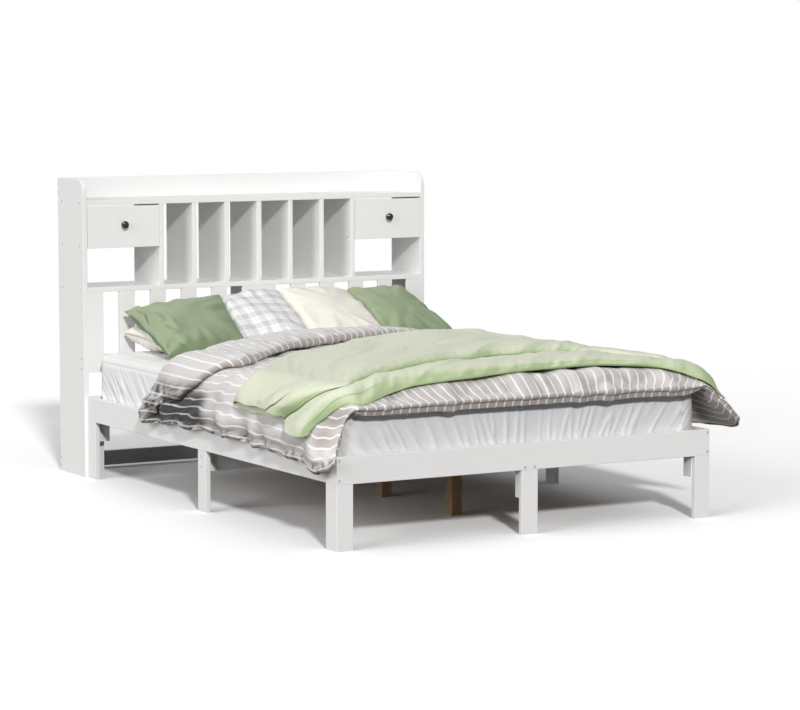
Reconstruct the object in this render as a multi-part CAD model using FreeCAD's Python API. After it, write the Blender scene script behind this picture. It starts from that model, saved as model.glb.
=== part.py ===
import FreeCAD, Part
import math
import os

# Bookcase headboard bed, white painted pine, made up with its bedding.
# Frame: X to the right seen from the foot, Y from foot to head, Z up, millimetres.
# The origin is on the floor, at the middle of the bed frame, under the middle centre leg.

os.makedirs("parts", exist_ok=True)
V = FreeCAD.Vector

# ---------------------------------------------------------------- driving dimensions
# boards
board = 18.0                # thickness of every rail, leg and bookcase board
ease = 1.5                  # rounding of the long edges of a board
touch = 0.3                 # clearance between a soft piece and what it lies on

# mattress and bed frame
mattress_width = 1400.0
mattress_length = 1900.0
mattress_height = 200.0
mattress_gap_side = 9.5     # between mattress and side rail
mattress_gap_end = 9.5      # between mattress and foot or head rail
rail_top = 306.0
rail_height = 90.0
slat_thickness = 18.0
slat_width = 70.0
slat_count = 13
mattress_recess = 36.0      # how deep the mattress sits below the rail tops
ledge_width = 25.0
ledge_height = 20.0
leg_front_width = 60.0      # corner leg seen from the foot
leg_side_width = 74.0       # corner leg seen from the side
middle_leg_width = 63.0
corner_block = 45.0
corner_block_height = 110.0
cross_beam_height = 70.0
centre_beam_width = 60.0
centre_beam_height = 40.0
centre_leg = 40.0           # square post
cleat_height = 90.0

# bookcase headboard
bookcase_overhang = 10.5    # how far it stands out beyond the bed frame on each side
bookcase_depth = 232.0
bookcase_height = 1120.0
panel_upstand = 79.0        # side panels and back board above the top shelf
slot_height = 307.0         # clear height of the book slots
end_bay_width = 298.0       # clear width of the drawer and cubby bays
divider_count = 7
panel_corner_radius = 46.0  # rounded top front corner of a side panel
back_slat_width = 63.0
back_slat_length = 303.0
back_slat_count = 6         # on each side of the centre panel
back_slat_thickness = 12.0
slat_rail_height = 66.0
stretcher_bottom = 10.0
stretcher_height = 56.0

# drawers
drawer_front_height = 156.0
drawer_side_gap = 1.5       # at each end of the drawer front
drawer_top_gap = 5.0
drawer_run_gap = 0.3        # between drawer and the shelf that it slides on
drawer_box_side_gap = 2.0
drawer_box_height = 105.0
drawer_box_depth = 195.0
drawer_box_board = 12.0
drawer_bottom_board = 5.0
knob_radius = 14.0
knob_length = 25.0
knob_neck_radius = 6.0
knob_foot_radius = 9.0
knob_above_middle = 8.0
knob_screw_radius = 2.0
knob_screw_reach = 14.0     # how far the knob is bored for its screw
knob_screw_head_radius = 4.0
knob_screw_head_height = 2.0

# fasteners
screw_radius = 2.5
screw_head_radius = 4.0
screw_head_height = 0.8
screw_length = 42.0
bolt_head_radius = 5.5
bolt_below_top = 11.5       # foot rail bolts, from the rail's upper and lower edges
bolt_above_bottom = 13.0
beam_bolt_rise = 12.5       # bolts over the foot middle leg, above the underside of the centre beam
beam_bolt_reach = 19.0      # and out from the middle
leg_bolt_drops = (18.0, 52.0)   # middle leg bolts, below the underside of the centre beam
hole_clearance = 0.1
dowel_radius = 4.0
dowel_length = 30.0
dowel_inset = 45.0          # from the front and rear edges of a divider
dowel_cover = 6.0           # wood left over a dowel's end in a shelf
shelf_screw_front = 28.0    # screw lines behind the front edge of the side panels
shelf_screw_rear = 192.0
back_board_screw_inset = 23.5   # from the upper and lower edges of the board
rail_screw_inset = 15.0

# bedding
sheet_thickness = 1.5
mattress_corner = 60.0
mattress_roll = 30.0
duvet_side_thickness = 26.0
turned_back_thickness = 42.0    # of the head end's turned back part, on top of the duvet under it
turned_back_side_thickness = 22.0
throw_thickness = 12.0
throw_front_band_thickness = 24.0
throw_crest_thickness = 34.0    # along the deep fold between the throw's two bands
throw_drop_left = 121.0     # how far the throw hangs down below the top of the bed
throw_drop_right = 51.0
cushion_size = 420.0
cushion_thickness = 130.0
cushion_lean = 24.0         # degrees from lying flat
flat_cushion_thickness = 100.0
flat_cushion_lean = 5.0

# ---------------------------------------------------------------- derived places
inner_width = mattress_width + 2 * mattress_gap_side
inner_length = mattress_length + 2 * mattress_gap_end
half_width = inner_width / 2 + board
half_length = inner_length / 2 + board
rail_bottom = rail_top - rail_height
mattress_bottom = rail_top - mattress_recess
slat_bottom = mattress_bottom - slat_thickness
beam_bottom = slat_bottom - centre_beam_height
cross_beam_bottom = beam_bottom - cross_beam_height
mattress_top = mattress_bottom + mattress_height
sheet_top = mattress_top + sheet_thickness
case_front = half_length
case_rear = case_front + bookcase_depth
case_half = half_width + bookcase_overhang
case_inner = case_half - board
top_shelf_top = bookcase_height - panel_upstand
lower_shelf_top = top_shelf_top - board - slot_height
slat_rail_bottom = lower_shelf_top - board - back_slat_length
drawer_front_top = top_shelf_top - board - drawer_top_gap
drawer_shelf_bottom = drawer_front_top - drawer_front_height

nodes = {}


def box(x0, x1, y0, y1, z0, z1):
    return Part.makeBox(x1 - x0, y1 - y0, z1 - z0, V(x0, y0, z0))


def largest(shape):
    return max(shape.Solids, key=lambda solid: solid.Volume)


def plank(x0, x1, y0, y1, z0, z1, along):
    """A board whose four long edges, those along the named axis, are eased."""
    shape = box(x0, x1, y0, y1, z0, z1)
    direction = {"x": V(1, 0, 0), "y": V(0, 1, 0), "z": V(0, 0, 1)}[along]
    edges = [e for e in shape.Edges if abs(e.tangentAt(e.FirstParameter).dot(direction)) > 0.99]
    return shape.makeFillet(ease, edges)


def pair(name, build):
    """Builds the left and right copies of a piece; side is -1 for left and 1 for right."""
    nodes[name + "_left"] = build(-1)
    nodes[name + "_right"] = build(1)


def span(side, near, far):
    """The X range from near to far on the given side, in rising order."""
    return sorted((side * near, side * far))


# ---------------------------------------------------------------- bed frame
def rail_across(y0):
    return plank(-half_width, half_width, y0, y0 + board, rail_bottom, rail_top, "x")


nodes["foot_rail"] = rail_across(-half_length)
nodes["head_rail"] = rail_across(half_length - board)


def side_rail(side):
    x0, x1 = span(side, half_width - board, half_width)
    return plank(x0, x1, -half_length + board, half_length - board, rail_bottom, rail_top, "y")


pair("side_rail", side_rail)


def corner_leg(side, end):
    """An L of two boards glued edge to face; end is -1 at the foot and 1 at the head."""
    outline = [
        (half_width, half_length),
        (half_width - leg_front_width, half_length),
        (half_width - leg_front_width, half_length - board),
        (half_width - board, half_length - board),
        (half_width - board, half_length - leg_side_width),
        (half_width, half_length - leg_side_width),
    ]
    points = [V(side * x, end * y, 0) for x, y in outline]
    shape = Part.Face(Part.makePolygon(points + points[:1])).extrude(V(0, 0, rail_bottom))
    upright = [e for e in shape.Edges if abs(e.tangentAt(e.FirstParameter).z) > 0.99]
    inner = V(side * (half_width - board), end * (half_length - board), 0)
    outer = [e for e in upright if math.hypot(e.CenterOfMass.x - inner.x, e.CenterOfMass.y - inner.y) > 1]
    return shape.makeFillet(ease, outer)


for end, end_name in ((-1, "foot"), (1, "head")):
    pair("corner_leg_" + end_name, lambda side: corner_leg(side, end))


def corner_blocks():
    """Square posts inside the corners that tie each leg to its two rails."""
    blocks = []
    for side in (-1, 1):
        for end in (-1, 1):
            x0, x1 = span(side, half_width - board - corner_block, half_width - board)
            y0, y1 = span(end, half_length - board - corner_block, half_length - board)
            blocks.append(box(x0, x1, y0, y1, slat_bottom - corner_block_height, slat_bottom))
    return Part.makeCompound(blocks)


nodes["corner_blocks"] = corner_blocks()

nodes["foot_middle_leg"] = plank(
    -middle_leg_width / 2, middle_leg_width / 2, -half_length, -half_length + board, 0, rail_bottom, "z")


def middle_leg(side):
    x0, x1 = span(side, half_width - board, half_width)
    return plank(x0, x1, -middle_leg_width / 2, middle_leg_width / 2, 0, rail_bottom, "z")


pair("middle_leg", middle_leg)

nodes["cross_beam"] = plank(
    -half_width + board, half_width - board, -board / 2, board / 2, cross_beam_bottom, beam_bottom, "x")
nodes["centre_beam"] = plank(
    -centre_beam_width / 2, centre_beam_width / 2, -half_length + board, half_length - board,
    beam_bottom, slat_bottom, "y")

leg_post = centre_leg / 2
nodes["centre_legs"] = Part.makeCompound([
    plank(-leg_post, leg_post, y - leg_post, y + leg_post, 0, top, "z")
    for y, top in ((-half_length / 2, beam_bottom), (0, cross_beam_bottom), (half_length / 2, beam_bottom))
])


def leg_cleats():
    """Blocks that tie the middle legs to the rails above them."""
    foot_y = -half_length + board
    top = slat_bottom - ledge_height
    cleats = [box(-centre_beam_width / 2, centre_beam_width / 2, foot_y, foot_y + ledge_width,
                  beam_bottom - cleat_height, beam_bottom)]
    for side in (-1, 1):
        x0, x1 = span(side, half_width - board - ledge_width, half_width - board)
        cleats.append(box(x0, x1, board / 2, middle_leg_width / 2, top - cleat_height, top))
    return Part.makeCompound(cleats)


nodes["leg_cleats"] = leg_cleats()

ledge_end = half_length - board - corner_block


def slat_ledge(side):
    x0, x1 = span(side, half_width - board - ledge_width, half_width - board)
    return plank(x0, x1, -ledge_end, ledge_end, slat_bottom - ledge_height, slat_bottom, "y")


pair("slat_ledge", slat_ledge)


def bed_slats():
    reach = half_length - board - slat_width / 2 - ease
    pitch = 2 * reach / (slat_count - 1)
    slats = []
    for k in range(slat_count):
        y = -reach + k * pitch
        slats.append(plank(-half_width + board, half_width - board, y - slat_width / 2, y + slat_width / 2,
                           slat_bottom, mattress_bottom, "x"))
    return Part.makeCompound(slats)


nodes["bed_slats"] = bed_slats()


# ---------------------------------------------------------------- bookcase headboard
def side_panel(side):
    """Full height panel with a rounded top front corner."""
    x0, x1 = span(side, case_inner, case_half)
    shape = box(x0, x1, case_front, case_rear, 0, bookcase_height)
    corner = [e for e in shape.Edges
              if abs(e.CenterOfMass.y - case_front) < 0.1 and abs(e.CenterOfMass.z - bookcase_height) < 0.1]
    shape = shape.makeFillet(panel_corner_radius, corner)
    rims = [e for e in shape.Edges if abs(e.tangentAt(e.FirstParameter).x) < 0.01
            and e.CenterOfMass.z > 1 and abs(abs(e.CenterOfMass.x) - (case_half - board / 2)) > 1]
    return shape.makeFillet(ease, rims)


pair("side_panel", side_panel)

nodes["top_shelf"] = plank(-case_inner, case_inner, case_front, case_rear,
                           top_shelf_top - board, top_shelf_top, "x")
nodes["lower_shelf"] = plank(-case_inner, case_inner, case_front, case_rear,
                             lower_shelf_top - board, lower_shelf_top, "x")
nodes["top_back_board"] = plank(-case_inner, case_inner, case_rear - board, case_rear,
                                top_shelf_top, bookcase_height, "x")
nodes["centre_panel"] = plank(-board / 2, board / 2, case_front, case_rear, 0, lower_shelf_top - board, "z")

divider_bottom = lower_shelf_top
divider_top = top_shelf_top - board
first_divider = -case_inner + end_bay_width
divider_pitch = (2 * (case_inner - end_bay_width) - board) / (divider_count - 1)
divider_lefts = [first_divider + k * divider_pitch for k in range(divider_count)]
nodes["slot_dividers"] = Part.makeCompound([
    plank(x, x + board, case_front, case_rear, divider_bottom, divider_top, "z") for x in divider_lefts
])

drawer_shelf_top = drawer_shelf_bottom + board
drawer_shelf_front = case_front + board


def drawer_shelf(side):
    x0, x1 = span(side, case_inner - end_bay_width, case_inner)
    return plank(x0, x1, drawer_shelf_front, case_rear, drawer_shelf_bottom, drawer_shelf_top, "x")


pair("drawer_shelf", drawer_shelf)


def slat_rail(side):
    x0, x1 = span(side, board / 2, case_inner)
    return plank(x0, x1, case_front + back_slat_thickness, case_front + back_slat_thickness + board,
                 slat_rail_bottom, slat_rail_bottom + slat_rail_height, "x")


pair("slat_rail", slat_rail)


def back_slats(side):
    """Upright slats in front of their rail, from its lower edge to the lower shelf."""
    pitch = (case_inner - board / 2 - back_slat_width) / (back_slat_count - 1)
    slats = []
    for k in range(back_slat_count):
        near = board / 2 + k * pitch
        x0, x1 = span(side, near, near + back_slat_width)
        slats.append(plank(x0, x1, case_front, case_front + back_slat_thickness,
                           slat_rail_bottom, lower_shelf_top - board, "z"))
    return Part.makeCompound(slats)


pair("back_slats", back_slats)


def rear_stretcher(side):
    """Low board along the back, from the centre panel to a side panel."""
    x0, x1 = span(side, board / 2, case_inner)
    top = stretcher_bottom + stretcher_height
    return plank(x0, x1, case_rear - board, case_rear, stretcher_bottom, top, "x")


nodes["rear_stretchers"] = Part.makeCompound([rear_stretcher(-1), rear_stretcher(1)])

# ---------------------------------------------------------------- drawers
drawer_box_bottom = drawer_shelf_top + drawer_run_gap
drawer_box_front = case_front + board
drawer_box_rear = drawer_box_front + drawer_box_depth
drawer_half = end_bay_width / 2 - drawer_box_side_gap
bay_centre = case_inner - end_bay_width / 2
knob_height = (drawer_shelf_bottom + drawer_front_top) / 2 + knob_above_middle


def turned(profile, x, y, z):
    """A solid turned about an axis along Y; the profile gives radius against distance from the front."""
    points = [V(x + r, y - d, z) for r, d in profile]
    wire = Part.makePolygon([V(x, points[0].y, z)] + points + [V(x, points[-1].y, z), V(x, points[0].y, z)])
    return Part.Face(wire).revolve(V(x, y, z), V(0, 1, 0), 360)


def knob(x):
    """Round knob: a foot on the drawer front, a waist, and a domed head."""
    head = knob_radius
    profile = [
        (knob_foot_radius, 0), (knob_foot_radius, 2.0), (knob_neck_radius, 5.0), (knob_neck_radius, 9.0),
        (0.80 * head, 11.5), (head, 14.5), (head, 18.5), (0.90 * head, 22.0), (0.60 * head, 24.2),
        (0.25 * head, knob_length),
    ]
    shape = turned(profile, x, case_front, knob_height)
    return shape.cut(Part.makeCylinder(knob_screw_radius + hole_clearance, knob_screw_reach,
                                       V(x, case_front, knob_height), V(0, -1, 0)))


def drawer(side, name):
    x = side * bay_centre
    front_half = end_bay_width / 2 - drawer_side_gap
    front = plank(x - front_half, x + front_half, case_front, case_front + board,
                  drawer_shelf_bottom, drawer_front_top, "x")
    hole = Part.makeCylinder(knob_screw_radius + hole_clearance, board,
                             V(x, case_front, knob_height), V(0, 1, 0))
    nodes["drawer_front_" + name] = front.cut(hole)
    floor_top = drawer_box_bottom + drawer_bottom_board
    nodes["drawer_bottom_" + name] = box(x - drawer_half, x + drawer_half, drawer_box_front, drawer_box_rear,
                                         drawer_box_bottom, floor_top)
    side_top = drawer_box_bottom + drawer_box_height
    for hand, hand_name in ((-1, "a"), (1, "b")):
        x0, x1 = sorted((x + hand * (drawer_half - drawer_box_board), x + hand * drawer_half))
        nodes["drawer_side_" + name + "_" + hand_name] = plank(
            x0, x1, drawer_box_front, drawer_box_rear, floor_top, side_top, "y")
    inner = drawer_half - drawer_box_board
    nodes["drawer_back_" + name] = plank(x - inner, x + inner, drawer_box_rear - drawer_box_board,
                                         drawer_box_rear, floor_top, side_top, "x")
    nodes["knob_" + name] = knob(x)
    inside = case_front + board
    head = Part.makeCylinder(knob_screw_head_radius, knob_screw_head_height,
                             V(x, inside, knob_height), V(0, 1, 0))
    shank = Part.makeCylinder(knob_screw_radius, board + knob_screw_reach - 1,
                              V(x, inside, knob_height), V(0, -1, 0))
    nodes["knob_screw_" + name] = head.fuse(shank).removeSplitter()


drawer(-1, "left")
drawer(1, "right")

# ---------------------------------------------------------------- screws, bolts and dowels
fasteners = {"frame_bolts": [], "bookcase_screws": []}


def fasten(group, head_radius, place, into, drilled):
    """A screw whose head sits on the face at place and whose shank runs along into, through drilled nodes."""
    start = V(*place)
    way = V(*into)
    head = Part.makeCylinder(head_radius, screw_head_height, start, way * -1)
    rim = [e for e in head.Edges if abs((e.CenterOfMass - start).dot(way) + screw_head_height) < 0.01]
    head = head.makeChamfer(screw_head_height / 2, rim)
    shank = Part.makeCylinder(screw_radius, screw_length, start, way)
    fasteners[group].append(head.fuse(shank).removeSplitter())
    hole = Part.makeCylinder(screw_radius + hole_clearance, screw_length + hole_clearance, start, way)
    for name in drilled:
        nodes[name] = nodes[name].cut(hole)


bolt_inset = board / 2      # the bolts enter the middle of the side rail's end
for side, side_name in ((-1, "left"), (1, "right")):
    for z in (rail_top - bolt_below_top, rail_bottom + bolt_above_bottom):
        fasten("frame_bolts", bolt_head_radius, (side * (half_width - bolt_inset), -half_length, z),
               (0, 1, 0), ("foot_rail", "side_rail_" + side_name))
for x in (-beam_bolt_reach, beam_bolt_reach):
    fasten("frame_bolts", bolt_head_radius, (x, -half_length, beam_bottom + beam_bolt_rise), (0, 1, 0),
           ("foot_rail", "centre_beam"))
for side, side_name in ((-1, "left"), (1, "right")):
    for drop in leg_bolt_drops:
        fasten("frame_bolts", bolt_head_radius, (side * half_width, 0, beam_bottom - drop), (-side, 0, 0),
               ("middle_leg_" + side_name, "cross_beam"))

# Screws through a side panel: distance behind its front edge, height, and the board that each holds.
panel_screws = []
for back in (shelf_screw_front, shelf_screw_rear):
    panel_screws.append((back, top_shelf_top - board / 2, "top_shelf"))
    panel_screws.append((back, lower_shelf_top - board / 2, "lower_shelf"))
    panel_screws.append((back, drawer_shelf_bottom + board / 2, "drawer_shelf"))
rear_line = bookcase_depth - board / 2
slat_rail_line = back_slat_thickness + board / 2
for back, low, height, inset, target in (
        (rear_line, top_shelf_top, panel_upstand, back_board_screw_inset, "top_back_board"),
        (slat_rail_line, slat_rail_bottom, slat_rail_height, rail_screw_inset, "slat_rail"),
        (rear_line, stretcher_bottom, stretcher_height, rail_screw_inset, "rear_stretchers")):
    panel_screws.append((back, low + inset, target))
    panel_screws.append((back, low + height - inset, target))

for side, side_name in ((-1, "left"), (1, "right")):
    for back, z, target in panel_screws:
        board_name = target if target in nodes else target + "_" + side_name
        fasten("bookcase_screws", screw_head_radius, (side * case_half, case_front + back, z), (-side, 0, 0),
               ("side_panel_" + side_name, board_name))
    divider_face = side * (case_inner - end_bay_width - board)
    for back in (shelf_screw_front, shelf_screw_rear):
        fasten("bookcase_screws", screw_head_radius,
               (divider_face, case_front + back, drawer_shelf_bottom + board / 2), (side, 0, 0),
               ("slot_dividers", "drawer_shelf_" + side_name))

for group, screws in fasteners.items():
    nodes[group] = Part.makeCompound(screws)


def dowels():
    """Wooden dowels in both ends of every divider."""
    places = []
    for x in divider_lefts:
        places.append((x + board / 2, divider_bottom, "slot_dividers", "lower_shelf"))
        places.append((x + board / 2, divider_top, "slot_dividers", "top_shelf"))
    pins = []
    for x, z, upright, shelf in places:
        inward = 1 if z == divider_bottom else -1
        shelf_depth = board - dowel_cover
        for y in (case_front + dowel_inset, case_rear - dowel_inset):
            low = z - shelf_depth if inward > 0 else z - (dowel_length - shelf_depth)
            pins.append(Part.makeCylinder(dowel_radius, dowel_length, V(x, y, low)))
            hole = Part.makeCylinder(dowel_radius + hole_clearance, dowel_length, V(x, y, low))
            nodes[upright] = nodes[upright].cut(hole)
            nodes[shelf] = nodes[shelf].cut(hole)
    return Part.makeCompound(pins)


nodes["dowels"] = dowels()


# ---------------------------------------------------------------- mattress and fitted sheet
def rounded_block(grow):
    """The mattress block, grown by the given thickness on its sides and top."""
    shape = box(-mattress_width / 2 - grow, mattress_width / 2 + grow,
                -mattress_length / 2 - grow, mattress_length / 2 + grow, mattress_bottom, mattress_top + grow)
    upright = [e for e in shape.Edges if abs(e.tangentAt(e.FirstParameter).z) > 0.99]
    shape = shape.makeFillet(mattress_corner + grow, upright)
    top = [e for e in shape.Edges if e.BoundBox.ZMin > mattress_top + grow - 0.1]
    return shape.makeFillet(mattress_roll + grow, top)


nodes["mattress"] = rounded_block(0)
nodes["fitted_sheet"] = rounded_block(sheet_thickness).cut(rounded_block(0))

# ---------------------------------------------------------------- duvet
# Sections across the bed, from the foot to the turned back head end. Each gives its distance from the
# foot face; the rise of its middle, of its part over the mattress edge and of its underside above the
# sheet; and for the left and right side the hem's drop below the sheet and how far it hangs out beyond
# the side rail.
duvet_sections = [
    # back   middle edge  under  hem_l  out_l hem_r  out_r
    (-38.0, -26.0, -32.0, -42.0, 77.0, 38.0, 80.0, 44.0),
    (-16.0, 4.0, -10.0, -36.0, 196.0, 62.0, 140.0, 108.0),
    (26.0, 28.0, 10.0, touch, 222.0, 54.0, 158.0, 72.0),
    (140.0, 42.0, 23.0, touch, 198.0, 44.0, 172.0, 48.0),
    (300.0, 51.0, 33.0, touch, 180.0, 58.0, 180.0, 58.0),
    (480.0, 56.0, 38.0, touch, 173.0, 46.0, 174.0, 46.0),
    (700.0, 58.0, 40.0, touch, 167.0, 60.0, 182.0, 60.0),
    (930.0, 60.0, 41.0, touch, 164.0, 48.0, 174.0, 48.0),
    (1150.0, 62.0, 42.0, touch, 180.0, 60.0, 186.0, 60.0),
    (1290.0, 62.0, 43.0, touch, 196.0, 52.0, 192.0, 52.0),
    (1440.0, 60.0, 42.0, touch, 204.0, 58.0, 182.0, 56.0),
    (1530.0, 54.0, 36.0, touch, 142.0, 48.0, 132.0, 48.0),
    (1562.0, 36.0, 24.0, touch, 72.0, 40.0, 72.0, 40.0),
]
duvet_edge_inset = 5.0      # where its top begins to round off, inside the mattress edge
duvet_edge_thickness = 15.0
shoulder_out = 14.5         # the rounded shoulder, outside the side rail's face
shoulder_thickness = 34.0
shoulder_drop = 38.0
inner_shoulder_drop = 19.0
side_bulge = 6.0
rail_clearance = 6.5        # between the side rail's face and the hanging side
rail_top_clearance = 8.0
hem_slope = 6.0
shoulder_x = half_width + shoulder_out
edge_x = mattress_width / 2 - duvet_edge_inset
inner_edge_x = edge_x - duvet_edge_thickness
inner_shoulder_x = shoulder_x - shoulder_thickness
inner_side_x = half_width + rail_clearance
inner_side_bottom = rail_top + rail_top_clearance


def duvet_outer(section):
    """Points over the top of the duvet, from the left hem to the right hem."""
    _, rise, edge_rise, _, drop_left, out_left, drop_right, out_right = section
    middle = sheet_top + rise
    edge = sheet_top + edge_rise
    shoulder = edge - shoulder_drop
    hem_left = sheet_top - drop_left
    hem_right = sheet_top - drop_right
    left = half_width + out_left
    right = half_width + out_right
    between = middle - (middle - edge) / 4
    return [
        (-left, hem_left),
        (-(left + shoulder_x) / 2 - side_bulge, (hem_left + shoulder) / 2),
        (-shoulder_x, shoulder),
        (-edge_x, edge),
        (-edge_x / 2, between),
        (0.0, middle),
        (edge_x / 2, between),
        (edge_x, edge),
        (shoulder_x, shoulder),
        ((right + shoulder_x) / 2 + side_bulge, (hem_right + shoulder) / 2),
        (right, hem_right),
    ]


def duvet_inner(section):
    """Points along the underside, from the right hem back to the left hem."""
    _, _, _, under_rise, drop_left, out_left, drop_right, out_right = section
    under = sheet_top + under_rise
    shoulder = under - inner_shoulder_drop
    hem_left = sheet_top - drop_left
    hem_right = sheet_top - drop_right
    return [
        (half_width + out_right - duvet_side_thickness, hem_right),
        (inner_side_x, max(inner_side_bottom, hem_right + hem_slope)),
        (inner_shoulder_x, shoulder),
        (inner_edge_x, under),
        (-inner_edge_x, under),
        (-inner_shoulder_x, shoulder),
        (-inner_side_x, max(inner_side_bottom, hem_left + hem_slope)),
        (-half_width - out_left + duvet_side_thickness, hem_left),
    ]


def loft_along_bed(rings, backs):
    """A ruled solid through closed rings of (x, z) points, one at each distance from the foot face."""
    wires = []
    for ring, back in zip(rings, backs):
        points = [V(x, back - half_length, z) for x, z in ring]
        wires.append(Part.makePolygon(points + points[:1]))
    return Part.makeLoft(wires, True, True)


duvet_backs = [section[0] for section in duvet_sections]
duvet_body = loft_along_bed([duvet_outer(s) + duvet_inner(s) for s in duvet_sections], duvet_backs)


def plan_prism(points):
    """An upright prism over a plan outline. A point is how far across the bed it lies, as a share of half
    the mattress width, and its distance from the foot face."""
    ring = [V(across * mattress_width / 2, back - half_length, 0) for across, back in points]
    return Part.Face(Part.makePolygon(ring + ring[:1])).extrude(V(0, 0, bookcase_height))


def offset_ring(section, grow):
    """The duvet's outer points moved out by a thickness that may change across the bed."""
    ring = duvet_outer(section)
    moved = []
    for k, (x, z) in enumerate(ring):
        before = ring[max(k - 1, 0)]
        after = ring[min(k + 1, len(ring) - 1)]
        dx, dz = after[0] - before[0], after[1] - before[1]
        length = math.hypot(dx, dz)
        amount = grow(x)
        moved.append((x - dz / length * amount, z + dx / length * amount))
    return moved


def layer(outline, grow):
    """A layer of cloth on top of the duvet, inside a plan outline. It reaches a little into the duvet."""
    rings = []
    for section in duvet_sections:
        under = offset_ring(section, lambda x: -layer_sink)
        rings.append(offset_ring(section, grow) + under[::-1])
    return loft_along_bed(rings, duvet_backs).common(plan_prism(outline))


layer_sink = 8.0

# The head end is turned back towards the foot, most of all at the left, and thins out to the right.
# Its left corner is pulled back from the headboard, so that the sheet shows beside the cushions.
turned_back_outline = [
    (-1.3, 1180.0), (-1.0, 900.0), (-0.88, 870.0), (-0.61, 1000.0), (-0.33, 1135.0), (0.0, 1250.0),
    (0.36, 1385.0), (0.64, 1485.0), (0.8, 1515.0), (0.8, 1590.0), (-1.3, 1590.0),
]
turned_back_full = 50.0     # how far to the right of the middle it begins to thin out
turned_back_thin = 560.0    # and where it ends
pulled_back_corner = [
    (-1.3, 1400.0), (-1.12, 1360.0), (-1.06, 1290.0), (-1.0, 1235.0), (-0.93, 1235.0), (-0.5, 1430.0),
    (-0.15, 1545.0), (-0.15, 1700.0), (-1.3, 1700.0),
]


def turned_back_rise(x):
    if x < -edge_x:
        return turned_back_side_thickness
    thinned = (x - turned_back_full) / (turned_back_thin - turned_back_full)
    return turned_back_thickness * (1 - 0.85 * max(0.0, min(1.0, thinned)))


turned_back = layer(turned_back_outline, turned_back_rise)
duvet_body = duvet_body.fuse(turned_back).cut(plan_prism(pulled_back_corner))
nodes["duvet"] = duvet_body

# ---------------------------------------------------------------- throw
# The throw lies across the duvet in two bands, the head side one over the front one, with a deep fold
# between them.
throw_front_edge = [
    (-1.2, 60.0), (-1.0, 5.0), (-0.85, 5.0), (-0.6, 35.0), (-0.3, 90.0), (0.1, 138.0), (0.5, 158.0),
    (0.72, 115.0), (0.86, 70.0), (1.0, 10.0), (1.2, 10.0),
]
throw_deep_fold = [
    (-1.2, 260.0), (-1.0, 140.0), (-0.94, 105.0), (-0.57, 235.0), (-0.31, 330.0), (0.1, 425.0),
    (0.41, 455.0), (0.63, 440.0), (0.8, 370.0), (0.94, 200.0), (1.2, 40.0),
]
throw_crest_end = [
    (-1.2, 420.0), (-0.94, 300.0), (-0.57, 440.0), (-0.31, 560.0), (0.1, 690.0), (0.63, 740.0),
    (0.94, 560.0), (1.2, 420.0),
]
throw_rear_edge = [
    (-1.2, 620.0), (-1.03, 600.0), (-0.94, 650.0), (-0.57, 890.0), (-0.34, 1000.0), (0.0, 1170.0),
    (0.29, 1310.0), (0.6, 1420.0), (0.89, 1465.0), (1.2, 1480.0),
]
throw_overlap = 15.0        # of the thick bands' outlines with the thin layer under them
beyond = 200.0              # outside everything that hangs over the bed's sides and foot


def moved_back(edge, distance):
    return [(across, back + distance) for across, back in edge]


def band(front, rear, thickness):
    return layer(front + rear[::-1], lambda x: thickness)


def make_throw():
    raw = band(moved_back(throw_front_edge, throw_overlap), throw_rear_edge, throw_thickness)
    raw = raw.fuse(band(throw_front_edge, moved_back(throw_deep_fold, throw_overlap), throw_front_band_thickness))
    raw = raw.fuse(band(throw_deep_fold, throw_crest_end, throw_crest_thickness))
    side = half_width + beyond
    foot = -half_length - beyond
    raw = raw.cut(box(-side, 0, foot, half_length, 0, sheet_top - throw_drop_left))
    raw = raw.cut(box(0, side, foot, half_length, 0, sheet_top - throw_drop_right))
    return largest(raw.cut(duvet_body))


nodes["throw"] = make_throw()


# ---------------------------------------------------------------- cushions
def cushion_ring(size, pull, height):
    """A four sided ring with curved sides; a positive pull draws the sides in between the corners."""
    half = size / 2
    corners = [V(-half, -half, height), V(half, -half, height), V(half, half, height), V(-half, half, height)]
    edges = []
    for k in range(4):
        start = corners[k]
        finish = corners[(k + 1) % 4]
        middle = (start + finish) * 0.5
        inward = V(0, 0, height) - middle
        inward.normalize()
        edges.append(Part.Arc(start, middle + inward * pull, finish).toShape())
    return Part.Wire(edges)


def cushion_form(size, thickness):
    """A stuffed cushion lying flat: pointed corners at its seam, drawn-in sides, a crown on both faces."""
    layers = [(-1.0, 0.42, -0.05), (-0.80, 0.66, -0.03), (-0.45, 0.86, 0.01), (0.0, 1.0, 0.045),
              (0.45, 0.86, 0.01), (0.80, 0.66, -0.03), (1.0, 0.42, -0.05)]
    wires = [cushion_ring(size * width, size * pull, thickness / 2 * level) for level, width, pull in layers]
    return Part.makeLoft(wires, True, True)


def place_cushion(across, gap, thickness, lean, turn):
    """Leans a cushion towards the head end and sets it down on the sheet. Its middle lies across the bed
    by a share of half the mattress width, and its upper edge has the given gap to the back slats."""
    shape = cushion_form(cushion_size, thickness)
    shape.rotate(V(0, 0, 0), V(0, 0, 1), turn)
    shape.rotate(V(0, 0, 0), V(1, 0, 0), lean)
    reach = shape.BoundBox
    upper_edge = case_front - touch - gap
    shape.translate(V(across * mattress_width / 2, upper_edge - reach.YMax, sheet_top + touch - reach.ZMin))
    return shape


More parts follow.
